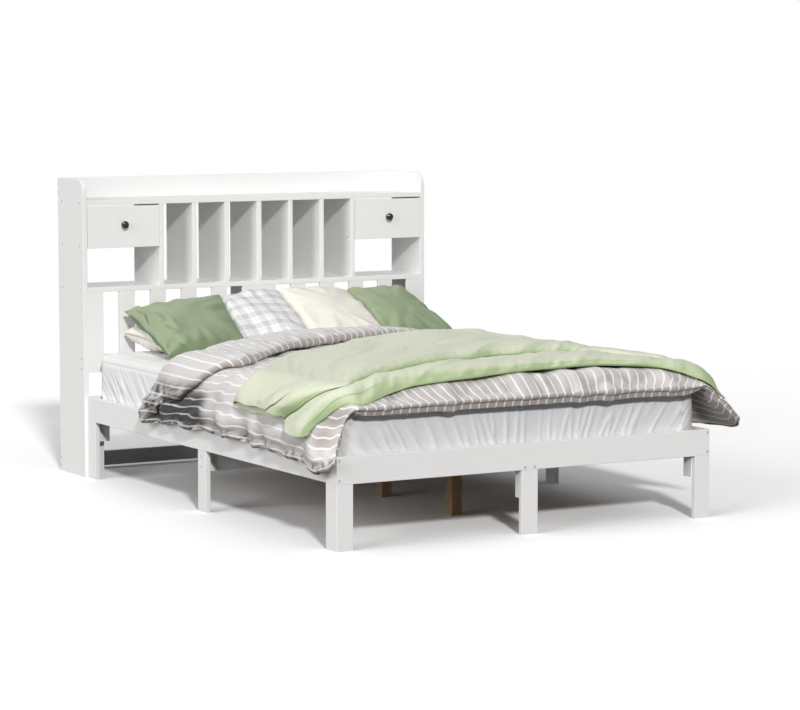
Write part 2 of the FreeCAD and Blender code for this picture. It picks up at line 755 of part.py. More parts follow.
# Front cushions first: each one behind is cut where those before it and the duvet press into it.
cushions = [
    # name                across gap   thickness               lean               turn
    ("green_cushion_left", -0.55, 22.0, cushion_thickness, cushion_lean, 2.0),
    ("plaid_cushion", -0.215, 8.0, cushion_thickness, cushion_lean, 0.0),
    ("cream_cushion_centre", 0.215, 4.0, cushion_thickness, cushion_lean, 0.0),
    ("green_cushion_right", 0.62, 0.0, cushion_thickness, cushion_lean, -2.0),
    ("cream_cushion_left", -0.67, 6.0, flat_cushion_thickness, flat_cushion_lean, 0.0),
]
laid = [nodes["duvet"]]
for name, across, gap, thickness, lean, turn in cushions:
    shape = place_cushion(across, gap, thickness, lean, turn)
    for other in laid:
        shape = shape.cut(other)
    nodes[name] = largest(shape)
    laid.append(nodes[name])

# ---------------------------------------------------------------- files
for name, shape in nodes.items():
    solids = shape.Solids
    bad = [k for k, solid in enumerate(solids) if not solid.isValid() or solid.Volume <= 0]
    if bad or not solids:
        raise ValueError("%s has solids that are not valid: %s of %d" % (name, bad, len(solids)))
    whole = solids[0] if len(solids) == 1 else Part.makeCompound(solids)
    whole.exportStep("parts/" + name + ".step")
print(len(nodes), "nodes")
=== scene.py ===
import math

import bpy
import numpy as np
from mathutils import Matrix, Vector
from mathutils.bvhtree import BVHTree


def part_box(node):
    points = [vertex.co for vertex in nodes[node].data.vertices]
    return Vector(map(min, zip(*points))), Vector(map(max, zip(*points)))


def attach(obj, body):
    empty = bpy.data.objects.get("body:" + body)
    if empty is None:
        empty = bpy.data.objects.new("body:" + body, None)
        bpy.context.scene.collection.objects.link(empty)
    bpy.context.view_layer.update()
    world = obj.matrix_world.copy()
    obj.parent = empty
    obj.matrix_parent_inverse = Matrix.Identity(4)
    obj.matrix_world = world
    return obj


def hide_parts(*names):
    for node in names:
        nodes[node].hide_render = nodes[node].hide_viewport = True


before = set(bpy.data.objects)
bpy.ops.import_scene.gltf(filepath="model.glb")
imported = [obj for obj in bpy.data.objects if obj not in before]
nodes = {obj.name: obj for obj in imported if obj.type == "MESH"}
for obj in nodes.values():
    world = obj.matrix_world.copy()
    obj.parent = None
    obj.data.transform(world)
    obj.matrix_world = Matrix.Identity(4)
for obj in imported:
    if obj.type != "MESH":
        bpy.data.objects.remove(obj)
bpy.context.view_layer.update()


# ---------------------------------------------------------------- viewpoint
# The bed is seen from its foot, from a long way off to the left, with a long lens
# held a little above the height of the headboard.
viewpoint_place = (-5.178, -9.1375, 1.568)
degrees_down = 5.741
degrees_right = 29.85
lens_length = 132.6
sensor_width = 36.0
viewpoint = bpy.data.objects.new("viewpoint", bpy.data.cameras.new("viewpoint"))
bpy.context.scene.collection.objects.link(viewpoint)
viewpoint.location = viewpoint_place
viewpoint.rotation_euler = (math.radians(90 - degrees_down), 0, math.radians(-degrees_right))
viewpoint.data.sensor_fit = "HORIZONTAL"
viewpoint.data.sensor_width = sensor_width
viewpoint.data.lens = lens_length
viewpoint.data.clip_end = 200.0
bpy.context.scene.camera = viewpoint


# ---------------------------------------------------------------- studio
# A white studio: a wide floor with no walls, a white sky that lights from above, a low key lamp in
# front of the foot of the bed and a wide lamp, nearly as strong, on the left.
def set_inputs(tree, node, inputs):
    """Sets a node's inputs, each to a value or to another node's output."""
    for name, value in inputs.items():
        if isinstance(value, bpy.types.NodeSocket):
            tree.links.new(value, node.inputs[name])
        else:
            node.inputs[name].default_value = value


def add(tree, kind, inputs=None, **settings):
    """A shader node with its settings and inputs."""
    node = tree.nodes.new("ShaderNode" + kind)
    for name, value in settings.items():
        setattr(node, name, value)
    set_inputs(tree, node, inputs or {})
    return node


def calculate(tree, operation, *values):
    """The result of a math node."""
    return add(tree, "Math", dict(enumerate(values)), operation=operation).outputs[0]


def ramp(tree, value, start=(0.0, 1.0), finish=(0.0, 1.0)):
    """A value mapped from one range to another and held at both ends."""
    return add(tree, "MapRange", {"Value": value, "From Min": start[0], "From Max": start[1],
                                  "To Min": finish[0], "To Max": finish[1]}).outputs[0]


def grey(level):
    return (level, level, level, 1.0)


def seen_directly(tree):
    """1 for what the camera or a gloss sees, and 0 for light on its way to a surface."""
    ray = add(tree, "LightPath")
    return calculate(tree, "MAXIMUM", ray.outputs["Is Camera Ray"], ray.outputs["Is Glossy Ray"])


bpy.context.scene.view_settings.view_transform = "Standard"
sky_level = 0.47
sky_heights = (0.12, 0.80)
sky = bpy.data.worlds.new("studio_sky")
sky.use_nodes = True
bpy.context.scene.world = sky
tree = sky.node_tree
upward = add(tree, "SeparateXYZ", {0: add(tree, "TexCoord").outputs["Generated"]})
dome = ramp(tree, upward.outputs[2], sky_heights, (0.0, sky_level))
level = ramp(tree, seen_directly(tree), finish=(dome, 1.0))
set_inputs(tree, tree.nodes["Background"], {"Color": grey(1.0), "Strength": level})


def soft_lamp(name, strength, spread, toward_lamp):
    """A far off lamp, as many degrees wide as its spread, in the given direction from the bed."""
    data = bpy.data.lights.new(name, "SUN")
    data.energy = strength
    data.angle = math.radians(spread)
    lamp = bpy.data.objects.new(name, data)
    lamp.rotation_euler = Vector(toward_lamp).to_track_quat("Z", "Y").to_euler()
    bpy.context.scene.collection.objects.link(lamp)


soft_lamp("key_lamp", 2.0, 5.0, (-0.35, -1.0, 0.53))
soft_lamp("left_lamp", 1.7, 40.0, (-1.0, -0.25, 0.30))

floor_reach = 60.0
floor_extra_white = 0.28
floor_bounce = 0.14
floor_mesh = bpy.data.meshes.new("studio_floor")
floor_mesh.from_pydata(
    [(-floor_reach, -floor_reach, 0), (floor_reach, -floor_reach, 0),
     (floor_reach, floor_reach, 0), (-floor_reach, floor_reach, 0)], [], [(0, 1, 2, 3)])
studio_floor = bpy.data.objects.new("studio_floor", floor_mesh)
bpy.context.scene.collection.objects.link(studio_floor)
floor_paint = bpy.data.materials.new("studio_floor")
floor_paint.use_nodes = True
tree = floor_paint.node_tree
tree.nodes.remove(tree.nodes["Principled BSDF"])
seen_white = add(tree, "BsdfDiffuse", {"Color": grey(1.0)})
seen_more = add(tree, "BsdfDiffuse", {"Color": grey(floor_extra_white)})
seen_floor = add(tree, "AddShader", {0: seen_white.outputs[0], 1: seen_more.outputs[0]})
lighting_floor = add(tree, "BsdfDiffuse", {"Color": grey(floor_bounce)})
floor_mix = add(tree, "MixShader", {0: seen_directly(tree), 1: lighting_floor.outputs[0],
                                    2: seen_floor.outputs[0]})
set_inputs(tree, tree.nodes["Material Output"], {"Surface": floor_mix.outputs[0]})
floor_mesh.materials.append(floor_paint)


# ---------------------------------------------------------------- painted boards
# Rails, legs and all the boards of the bookcase are pine, 18 mm thick, with eased edges and a satin
# white paint. The paint lets the grain show as a faint relief and is a little thinner on the edges.
def combine(tree, operation, first, second=None):
    """The result of a vector math node: a number for a length or a dot product, or else a vector."""
    inputs = {0: first}
    if second is not None:
        inputs["Scale" if operation == "SCALE" else 1] = second
    node = add(tree, "VectorMath", inputs, operation=operation)
    return node.outputs[1 if operation in ("LENGTH", "DOT_PRODUCT") else 0]


def start_group(name, inputs, outputs):
    """A shader node group with named sockets; an input is (name, socket type, starting value)."""
    tree = bpy.data.node_groups.new(name, "ShaderNodeTree")
    for label, kind, value in inputs:
        socket = tree.interface.new_socket(label, in_out="INPUT", socket_type="NodeSocket" + kind)
        socket.default_value = value
    for label, kind in outputs:
        tree.interface.new_socket(label, in_out="OUTPUT", socket_type="NodeSocket" + kind)
    return tree, tree.nodes.new("NodeGroupInput"), tree.nodes.new("NodeGroupOutput")


def pine_grain_group():
    """Growth rings round a far off pith line, and the fine fibre between them. Along is 1 on the axis
    that the grain follows and 0 on the others."""
    tree, given, result = start_group(
        "pine_grain",
        [("Position", "Vector", (0, 0, 0)), ("Along", "Vector", (0, 0, 1)), ("Board", "Float", 0.0),
         ("Ring Width", "Float", 0.006)],
        [("Ring", "Float"), ("Fibre", "Float")])
    board_shift = (3.7, 5.1, 4.3)
    pith_line = (0.083, -0.047, 0.061)
    lengthwise_squeeze = 0.06
    moved = combine(tree, "SCALE", board_shift, given.outputs["Board"])
    place = combine(tree, "ADD", given.outputs["Position"], moved)
    across = combine(tree, "SUBTRACT", (1.0, 1.0, 1.0), given.outputs["Along"])
    lengthwise = combine(tree, "SCALE", given.outputs["Along"], lengthwise_squeeze)
    stretched = combine(tree, "MULTIPLY", place, combine(tree, "ADD", across, lengthwise))
    wander = add(tree, "TexNoise", {"Vector": stretched, "Scale": 7.0, "Detail": 2.0})
    bent = combine(tree, "SCALE", wander.outputs["Color"], 0.05)
    routed = combine(tree, "ADD", combine(tree, "MULTIPLY", stretched, across), bent)
    radius = combine(tree, "LENGTH", combine(tree, "ADD", routed, pith_line))
    count = calculate(tree, "DIVIDE", radius, given.outputs["Ring Width"])
    dark = calculate(tree, "POWER", calculate(tree, "FRACT", count), 3.0)
    fibre = add(tree, "TexNoise", {"Vector": stretched, "Scale": 260.0, "Detail": 3.0, "Roughness": 0.6})
    set_inputs(tree, result, {"Ring": dark, "Fibre": fibre.outputs["Fac"]})
    return tree


def board_edge_group():
    """1 along the edges of a board and 0 on its faces, broken up a little."""
    tree, given, result = start_group(
        "board_edge", [("Width", "Float", 0.002), ("Position", "Vector", (0, 0, 0))], [("Edge", "Float")])
    rounded = add(tree, "Bevel", {"Radius": given.outputs["Width"]}, samples=4)
    surface = add(tree, "NewGeometry")
    same = combine(tree, "DOT_PRODUCT", rounded.outputs[0], surface.outputs["Normal"])
    turned = ramp(tree, same, (0.99, 0.80))
    patches = add(tree, "TexNoise", {"Vector": given.outputs["Position"], "Scale": 35.0, "Detail": 3.0})
    broken = ramp(tree, patches.outputs["Fac"], (0.35, 0.65), (0.3, 1.0))
    set_inputs(tree, result, {"Edge": calculate(tree, "MULTIPLY", turned, broken)})
    return tree


pine_grain = pine_grain_group()
board_edge = board_edge_group()


def use_group(tree, group, inputs):
    return add(tree, "Group", inputs, node_tree=group)


def start_material(name, **constants):
    """A material whose shader has these constant inputs; returns it, its node tree and its shader."""
    material = bpy.data.materials.new(name)
    material.use_nodes = True
    shader = material.node_tree.nodes["Principled BSDF"]
    for socket, value in constants.items():
        shader.inputs[socket.replace("_", " ")].default_value = value
    return material, material.node_tree, shader


def blend_colour(tree, factor, first, second):
    """The first colour where the factor is 0, the second where it is 1. The node's colour inputs are
    its seventh and eighth."""
    return add(tree, "Mix", {0: factor, 6: first, 7: second}, data_type="RGBA").outputs[2]


grain_axes = {"x": (1.0, 0.0, 0.0), "y": (0.0, 1.0, 0.0), "z": (0.0, 0.0, 1.0)}


def painted_board(axis):
    """White paint on a board whose grain follows the given axis."""
    material, tree, shader = start_material("white_paint_grain_" + axis, Specular_IOR_Level=0.4)
    place = add(tree, "TexCoord").outputs["Object"]
    board = add(tree, "ObjectInfo").outputs["Random"]
    grain = use_group(tree, pine_grain, {"Position": place, "Along": grain_axes[axis], "Board": board,
                                         "Ring Width": 0.007})
    edge = use_group(tree, board_edge, {"Width": 0.0025, "Position": place})
    cloudy = add(tree, "TexNoise", {"Vector": place, "Scale": 2.3, "Detail": 3.0})
    clean = blend_colour(tree, cloudy.outputs["Fac"], (0.845, 0.838, 0.826, 1), (0.885, 0.880, 0.872, 1))
    faint_ring = calculate(tree, "MULTIPLY", grain.outputs["Ring"], 0.10)
    ringed = blend_colour(tree, faint_ring, clean, (0.72, 0.69, 0.65, 1))
    faint_edge = calculate(tree, "MULTIPLY", edge.outputs["Edge"], 0.35)
    tinted = blend_colour(tree, faint_edge, ringed, (0.83, 0.80, 0.755, 1))
    rough = ramp(tree, grain.outputs["Fibre"], (0.3, 0.7), (0.40, 0.56))
    relief = calculate(tree, "ADD", grain.outputs["Ring"], grain.outputs["Fibre"])
    bump = add(tree, "Bump", {"Strength": 0.18, "Distance": 0.0004, "Height": relief})
    set_inputs(tree, shader, {"Base Color": tinted, "Roughness": rough, "Normal": bump.outputs[0]})
    return material


def finish_nodes(material, *names):
    """Gives CAD pieces their finish."""
    for name in names:
        nodes[name].data.materials.clear()
        nodes[name].data.materials.append(material)


finish_nodes(painted_board("x"), "foot_rail", "head_rail", "cross_beam", "top_shelf", "lower_shelf",
             "top_back_board", "slat_rail_left", "slat_rail_right", "rear_stretchers", "drawer_shelf_left",
             "drawer_shelf_right", "drawer_front_left", "drawer_front_right")
finish_nodes(painted_board("y"), "side_rail_left", "side_rail_right", "slat_ledge_left", "slat_ledge_right")
finish_nodes(painted_board("z"), "corner_leg_foot_left", "corner_leg_foot_right", "corner_leg_head_left",
             "corner_leg_head_right", "corner_blocks", "foot_middle_leg", "middle_leg_left",
             "middle_leg_right", "leg_cleats", "side_panel_left", "side_panel_right", "centre_panel",
             "slot_dividers", "back_slats_left", "back_slats_right")


# ---------------------------------------------------------------- bare pine
# What nobody sees from above is planed pine left bare: the slats, the beam and posts under the
# middle of the bed, the drawers' boxes and the dowels.
def bare_board(axis, tone):
    """Bare pine whose grain follows the given axis; a tone below 1 is darker."""
    material, tree, shader = start_material("bare_pine_grain_" + axis, Specular_IOR_Level=0.3)
    place = add(tree, "TexCoord").outputs["Object"]
    board = add(tree, "ObjectInfo").outputs["Random"]
    grain = use_group(tree, pine_grain, {"Position": place, "Along": grain_axes[axis], "Board": board,
                                         "Ring Width": 0.005})
    early, late, pale = (tuple(c * tone for c in colour) + (1.0,) for colour in (
        (0.66, 0.44, 0.24), (0.42, 0.22, 0.09), (0.75, 0.56, 0.36)))
    ringed = blend_colour(tree, grain.outputs["Ring"], early, late)
    streaked = blend_colour(tree, ramp(tree, grain.outputs["Fibre"], finish=(0.0, 0.25)), ringed, pale)
    rough = ramp(tree, grain.outputs["Fibre"], finish=(0.55, 0.80))
    bump = add(tree, "Bump", {"Strength": 0.4, "Distance": 0.0005, "Height": grain.outputs["Fibre"]})
    set_inputs(tree, shader, {"Base Color": streaked, "Roughness": rough, "Normal": bump.outputs[0]})
    return material


finish_nodes(bare_board("x", 1.0), "bed_slats", "drawer_back_left", "drawer_back_right")
finish_nodes(bare_board("y", 1.0), "centre_beam", "drawer_side_left_a", "drawer_side_left_b",
             "drawer_side_right_a", "drawer_side_right_b", "drawer_bottom_left", "drawer_bottom_right")
finish_nodes(bare_board("z", 0.62), "centre_legs", "dowels")


# ---------------------------------------------------------------- bolts and screws
# Flat headed zinc plated bolts hold the rails and middle legs, and smaller screws of the same
# finish hold the bookcase and the knobs.
zinc, tree, shader = start_material("zinc_plate", Metallic=1.0)
place = add(tree, "TexCoord").outputs["Object"]
spangle = add(tree, "TexNoise", {"Vector": place, "Scale": 900.0, "Detail": 2.0}).outputs["Fac"]
set_inputs(tree, shader, {
    "Base Color": blend_colour(tree, spangle, (0.36, 0.36, 0.37, 1), (0.58, 0.58, 0.59, 1)),
    "Roughness": ramp(tree, spangle, finish=(0.30, 0.55))})
finish_nodes(zinc, "frame_bolts", "bookcase_screws", "knob_screw_left", "knob_screw_right")


# ---------------------------------------------------------------- knobs
# One turned wooden knob on each drawer, lacquered gloss black.
lacquer, tree, shader = start_material("black_lacquer", Specular_IOR_Level=0.3, Coat_Weight=0.15,
                                       Coat_Roughness=0.05)
place = add(tree, "TexCoord").outputs["Object"]
dust = add(tree, "TexNoise", {"Vector": place, "Scale": 260.0, "Detail": 4.0}).outputs["Fac"]
set_inputs(tree, shader, {
    "Base Color": blend_colour(tree, dust, (0.010, 0.010, 0.011, 1), (0.022, 0.022, 0.023, 1)),
    "Roughness": ramp(tree, dust, finish=(0.16, 0.30))})
finish_nodes(lacquer, "knob_left", "knob_right")


# ---------------------------------------------------------------- mattress
# A foam mattress in a woven ticking. Only its underside shows, between the slats.
def woven_cloth_group():
    """Plain weave over flat cloth coordinates in metres: a relief of crossing threads, and slubs, which
    are threads a little thicker or darker than the rest."""
    tree, given, result = start_group(
        "woven_cloth", [("Flat", "Vector", (0, 0, 0)), ("Thread", "Float", 0.0012)],
        [("Relief", "Float"), ("Slub", "Float")])
    turns = calculate(tree, "DIVIDE", 2 * math.pi, given.outputs["Thread"])
    parts = add(tree, "SeparateXYZ", {0: combine(tree, "SCALE", given.outputs["Flat"], turns)})
    warp, weft = (calculate(tree, "SINE", parts.outputs[axis]) for axis in (0, 1))
    streaks = []
    for stretch in ((900.0, 25.0, 1.0), (25.0, 900.0, 1.0)):
        one_way = combine(tree, "MULTIPLY", given.outputs["Flat"], stretch)
        noise = add(tree, "TexNoise", {"Vector": one_way, "Scale": 1.0, "Detail": 1.0})
        streaks.append(noise.outputs["Fac"])
    set_inputs(tree, result, {"Relief": calculate(tree, "MULTIPLY", warp, weft),
                              "Slub": calculate(tree, "MAXIMUM", *streaks)})
    return tree


woven_cloth = woven_cloth_group()
# Painted light: cloth colours turn paler as a surface faces this side, up and to the left.
lit_side = (-0.55, 0.25, 0.80)


def cloth_material(name, thread, relief, painted_shade_colour=None, painted_light=None, colour=None, uncut=False, **constants):
    """Plain woven cloth with painted shade and painted light: darker where it hangs or faces away from the
    lit side, paler where it faces it, up and to the left. The colour, where given, is a function that returns
    the colour from the tree, its flat coordinates and the painted light's share. Uncut cloth has no flat
    coordinates."""
    material, tree, shader = start_material(name, Specular_IOR_Level=0.15, **constants)
    flat = add(tree, "TexCoord").outputs["Object"] if uncut else add(tree, "UVMap").outputs[0]
    weave = use_group(tree, woven_cloth, {"Flat": flat, "Thread": thread})
    # Painted light and shade: the share of the lit colour follows how far the surface faces the lit side.
    facing = combine(tree, "DOT_PRODUCT", add(tree, "NewGeometry").outputs["Normal"], lit_side)
    upward = ramp(tree, facing, (0.22, 0.78))
    thread_tone = ramp(tree, weave.outputs["Slub"], (0.4, 0.8), (-0.12, 0.12))
    share = add(tree, "Math", {0: upward, 1: thread_tone}, operation="ADD", use_clamp=True).outputs[0]
    if colour:
        tone = colour(tree, flat, share)
    else:
        tone = blend_colour(tree, share, painted_shade_colour + (1.0,), painted_light + (1.0,))
    rough = ramp(tree, weave.outputs["Slub"], finish=(0.95, 0.72))
    bump = add(tree, "Bump", {"Strength": relief, "Distance": 0.0005, "Height": weave.outputs["Relief"]})
    set_inputs(tree, shader, {"Base Color": tone, "Roughness": rough, "Normal": bump.outputs[0]})
    return material


# The ticking's two colours are its painted shade and its painted light.
finish_nodes(cloth_material("mattress_ticking", 0.003, 0.4, (0.70, 0.70, 0.68), (0.86, 0.86, 0.85),
                            uncut=True), "mattress")


# ---------------------------------------------------------------- fitted sheet
# A white cotton sheet pulled over the mattress, with elastic round its lower edge. It is tight on top
# and lies in slanting ripples down the foot and the sides.
def seam_faces(loop):
    """Triangles that close a long thin loop of points, from where it starts to the far end."""
    left, right = 0, len(loop) - 1
    faces = []
    while right - left > 1:
        if np.linalg.norm(loop[left + 1] - loop[right]) < np.linalg.norm(loop[left] - loop[right - 1]):
            faces.append((left, left + 1, right))
            left += 1
        else:
            faces.append((left, right - 1, right))
            right -= 1
    return faces


def make_grid(name, points, flat, material, ring=False):
    """A cloth from rows of points. Flat holds each point's place on the flat cloth, in metres. A ring's
    last row joins its first, its two ends are sewn shut, and its flat places have one row more."""
    rows, columns = points.shape[:2]
    steps = rows if ring else rows - 1
    faces = []
    for i in range(steps):
        for j in range(columns - 1):
            faces.append(((i, j), (i, j + 1), (i + 1, j + 1), (i + 1, j)))
    if ring:
        for column, turn in ((0, 1), (columns - 1, -1)):
            faces.extend([(i, column) for i in corners[::turn]] for corners in seam_faces(points[:, column]))
    mesh = bpy.data.meshes.new(name)
    mesh.from_pydata(points.reshape(-1, 3).tolist(), [],
                     [[(i % rows) * columns + j for i, j in face] for face in faces])
    places = np.array([flat[i, j] for face in faces for i, j in face])
    mesh.uv_layers.new(name="flat_cloth").data.foreach_set("uv", places.ravel())
    mesh.polygons.foreach_set("use_smooth", [True] * len(mesh.polygons))
    mesh.materials.append(material)
    cloth = bpy.data.objects.new(name, mesh)
    bpy.context.scene.collection.objects.link(cloth)
    return cloth


def unit_normals(points, ring=False):
    """Outward directions of a grid of points."""
    if ring:
        down = np.roll(points, -1, axis=0) - np.roll(points, 1, axis=0)
    else:
        down = np.gradient(points, axis=0)
    across = np.gradient(points, axis=1)
    normals = np.cross(across, down)
    return normals / np.maximum(np.linalg.norm(normals, axis=2, keepdims=True), 1e-9)


def random_field(a, b, seed, shortest, longest, waves=26):
    """A smooth random height over flat cloth, about -1 to 1, with the given range of wavelengths."""
    rng = np.random.default_rng(seed)
    total = np.zeros(np.broadcast(a, b).shape)
    power = 0.0
    for _ in range(waves):
        length = shortest * (longest / shortest) ** rng.random()
        heading, phase = rng.random(2) * 2 * math.pi
        distance = a * math.cos(heading) + b * math.sin(heading)
        total += length * np.sin(distance * 2 * math.pi / length + phase)
        power += length * length / 2
    return total / (1.6 * math.sqrt(power))


def creases(a, b, seed, shortest, longest):
    """Sharp valleys between soft cushions of cloth, 0 in a valley and up to 1."""
    return np.minimum(np.abs(random_field(a, b, seed, shortest, longest)) * 1.6, 1.0)


def smooth_step(value, low, high):
    """0 below the low end, 1 above the high end and a soft ramp between."""
    share = np.clip((value - low) / (high - low), 0.0, 1.0)
    return share * share * (3 - 2 * share)


sheet_low, sheet_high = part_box("fitted_sheet")
sheet_top = sheet_high[2]
sheet_half_width = sheet_high[0]
sheet_half_length = sheet_high[1]
sheet_corner = 0.075
sheet_shoulder = 0.045
ripple_depth = 0.0055
sag_depth = 0.003
ripple_slant = 1.1
top_bagginess = 0.0012
stitch_step = 0.006
corner_steps = 24
top_rings = 25
shoulder_rings = 9
side_rings = 28


def make_fitted_sheet():
    """The sheet in rings, from the middle of the top, over the shoulder and down to the elastic."""
    straight_x = sheet_half_width - sheet_corner
    straight_y = sheet_half_length - sheet_corner
    outline, turned = [], []
    corners = ((1, -1), (1, 1), (-1, 1), (-1, -1))
    for k, corner in enumerate(corners):
        centre = np.array(corner) * (straight_x, straight_y)
        for step in range(corner_steps):
            angle = (k - 1) * math.pi / 2 + step / corner_steps * math.pi / 2
            facing = np.array([math.cos(angle), math.sin(angle)])
            outline.append(centre + sheet_corner * facing)
            turned.append(facing)
        facing = np.array([math.cos(k * math.pi / 2), math.sin(k * math.pi / 2)])
        start = centre + sheet_corner * facing
        finish = np.array(corners[(k + 1) % 4]) * (straight_x, straight_y) + sheet_corner * facing
        count = int(np.linalg.norm(finish - start) / stitch_step)
        for step in range(count):
            outline.append(start + (finish - start) * step / count)
            turned.append(facing)
    outline.append(outline[0])
    turned.append(turned[0])
    outline, turned = np.array(outline), np.array(turned)
    around = np.concatenate([[0], np.cumsum(np.linalg.norm(np.diff(outline, axis=0), axis=1))])
    points, flat = [], []
    for share in np.linspace(0.02, 1.0, top_rings + 1)[:-1]:
        ring = (outline - turned * sheet_shoulder) * share
        points.append(np.column_stack([ring, np.full(len(ring), sheet_top)]))
        flat.append(ring)
    for angle in np.linspace(0, math.pi / 2, shoulder_rings):
        ring = outline - turned * sheet_shoulder * (1 - math.sin(angle))
        height = sheet_top - sheet_shoulder * (1 - math.cos(angle))
        points.append(np.column_stack([ring, np.full(len(ring), height)]))
        flat.append(outline + turned * sheet_shoulder * (angle - 1))
    drop = sheet_top - sheet_shoulder - sheet_low[2]
    for share in np.linspace(0, 1, side_rings + 1)[1:]:
        height = sheet_top - sheet_shoulder - drop * share
        points.append(np.column_stack([outline, np.full(len(outline), height)]))
        flat.append(outline + turned * drop * share)
    points, flat = np.array(points), np.array(flat)
    below = smooth_step(sheet_top - points[:, :, 2], 0.012, 0.11)
    lean = -ripple_slant * points[:, :, 0] / sheet_half_width
    slanted = around + lean * (points[:, :, 2] - sheet_top)
    pulls = random_field(slanted, points[:, :, 2] * 0.15, 11, 0.05, 0.11)
    sags = random_field(slanted, points[:, :, 2], 12, 0.25, 0.6)
    ripple = np.clip(1 - np.abs(pulls) * 1.7, 0, 1) ** 2 * ripple_depth + (0.5 + 0.5 * sags) * sag_depth
    baggy = (1 - below) * top_bagginess * (1 + random_field(points[:, :, 0], points[:, :, 1], 13, 0.08, 0.3))
    points[:, :, :2] += turned * (ripple * below)[:, :, None]
    points[:, :, 2] += baggy
    return make_grid("fitted_sheet_cloth", points[:, ::-1], flat[:, ::-1], white_cotton)


# The sheet's two colours are its painted shade and its painted light.
white_cotton = cloth_material("white_sheet_cotton", 0.0008, 0.25, (0.77, 0.77, 0.785), (0.93, 0.93, 0.935),
                              Sheen_Weight=0.1)
fitted_sheet_cloth = make_fitted_sheet()
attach(fitted_sheet_cloth, "bed")
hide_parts("fitted_sheet")


# ---------------------------------------------------------------- duvet
# A filled duvet in a woven cover, grey-brown with thin white stripes along the bed. It hangs over both
# sides and a little over the foot. Its head end is turned back, most of all at the left corner.
foot_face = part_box("foot_rail")[0][1]
shoulder_in = 0.0355
bend_start = sheet_half_width - shoulder_in
bend_radius = 0.05
bend_angle = math.radians(75.5)
# Half the duvet's width as it is laid, and as its cloth measures, which sets the stripes.
duvet_half = 0.90
duvet_girth = 0.97
stripe_pitch = 0.036


def lay_on_bed(across, along, height):
    """The place of a point of bedding: across the cloth from the bed's middle, along the bed from the foot
    face, and a height above the sheet, or beyond it where the cloth hangs down the side. The right foot
    corner swings out, and the left one is rounded off inwards, down and towards the head."""
    reach = np.abs(across)
    turn = np.clip((reach - bend_start) / bend_radius, 0, bend_angle)
    hang = np.maximum(reach - bend_start - bend_radius * bend_angle, 0)
    x = np.minimum(reach, bend_start) + bend_radius * np.sin(turn) + hang * math.cos(bend_angle)
    swing = corner_swing * np.exp(-(np.maximum(along + 0.01, 0) / corner_swing_length) ** 2)
    x = x + np.where(across > 0, swing * (hang / 0.15) ** 1.3, 0)
    z = sheet_top - bend_radius * (1 - np.cos(turn)) - hang * math.sin(bend_angle)
    rounded = np.where(across < 0, smooth_step(reach, 0.66, 0.76) * (1 - smooth_step(reach, 0.83, 0.89)), 0)
    rounded = rounded * (1 - smooth_step(along, -0.03, 0.14))
    inward, downward, headward = corner_rounding
    x, z, along = x - inward * rounded, z - downward * rounded, along + headward * rounded
    x = np.sign(across) * (x + height * np.sin(turn))
    return np.stack(np.broadcast_arrays(x, along + foot_face, z + height * np.cos(turn)), axis=-1)


def eased(value, places, heights, softness=0.03):
    """A smooth curve near the given points."""
    total = 0.0
    for shift, weight in ((-1.2, 0.15), (-0.6, 0.22), (0.0, 0.26), (0.6, 0.22), (1.2, 0.15)):
        total = total + weight * np.interp(value + shift * softness, places, heights)
    return total


# From the foot face towards the head: rise of the filling above the sheet in the middle and at the
# edge of the bed, and how far it stands out on the left and on the right side of the bed.
filling_places = (-0.038, -0.016, 0.012, 0.045, 0.085, 0.140, 0.300, 0.480, 0.700, 0.930, 1.150, 1.600)
filling_middle = (-0.018, 0.008, 0.034, 0.053, 0.060, 0.061, 0.060, 0.060, 0.060, 0.060, 0.062, 0.062)
filling_edge = (-0.022, 0.000, 0.022, 0.036, 0.041, 0.041, 0.041, 0.041, 0.041, 0.042, 0.043, 0.043)
filling_left = (0.016, 0.032, 0.036, 0.038, 0.036, 0.030, 0.034, 0.030, 0.038, 0.030, 0.034, 0.030)
filling_right = (0.020, 0.032, 0.036, 0.038, 0.038, 0.036, 0.040, 0.032, 0.040, 0.032, 0.036, 0.030)
# Height of the two side hems above the floor, and how far the two foot corners move.
hem_left = (0.285, 0.255, 0.247, 0.248, 0.252, 0.262, 0.276, 0.282, 0.289, 0.291, 0.287, 0.262)
hem_right = (0.328, 0.310, 0.306, 0.304, 0.306, 0.300, 0.291, 0.297, 0.290, 0.297, 0.285, 0.280)
corner_swing = 0.125
corner_swing_length = 0.14
corner_rounding = (0.035, 0.03, 0.06)


def filling_rise(across, along):
    """How far the duvet's upper face is above the sheet, or beyond it at the side."""
    middle, edge = (eased(along, filling_places, rise, 0.008) for rise in (filling_middle, filling_edge))
    left, right = (eased(along, filling_places, rise, 0.012) for rise in (filling_left, filling_right))
    side = np.where(across < 0, left, right)
    reach = np.abs(across)
    top = middle + (edge - middle) * smooth_step(reach, 0.25, 0.70)
    return top + (side - top) * smooth_step(reach, 0.66, 0.80)


# The hem of the turned back head end and the fold behind it, from the left side to the right, and how
# much higher than the duvet under it the turned back part lies.
turned_places = (-0.90, -0.865, -0.825, -0.79, -0.74, -0.70, -0.655, -0.60, -0.43, -0.23, 0.0, 0.25, 0.45,
                 0.90)
turned_hem = (1.38, 1.285, 1.175, 1.07, 0.97, 0.885, 0.845, 0.87, 1.00, 1.135, 1.25, 1.38, 1.48, 1.53)
fold_places = (-0.90, -0.857, -0.80, -0.75, -0.70, -0.62, -0.50, -0.35, -0.10, 0.10, 0.90)
fold_line = (1.405, 1.37, 1.33, 1.29, 1.245, 1.25, 1.34, 1.43, 1.53, 1.555, 1.565)
turned_rise_places = (-0.90, -0.78, -0.66, 0.0, 0.25, 0.50, 0.75)
turned_rise = (0.016, 0.028, 0.040, 0.042, 0.030, 0.014, 0.006)
flange = 0.028
flange_ease = 0.04
underside = 0.003


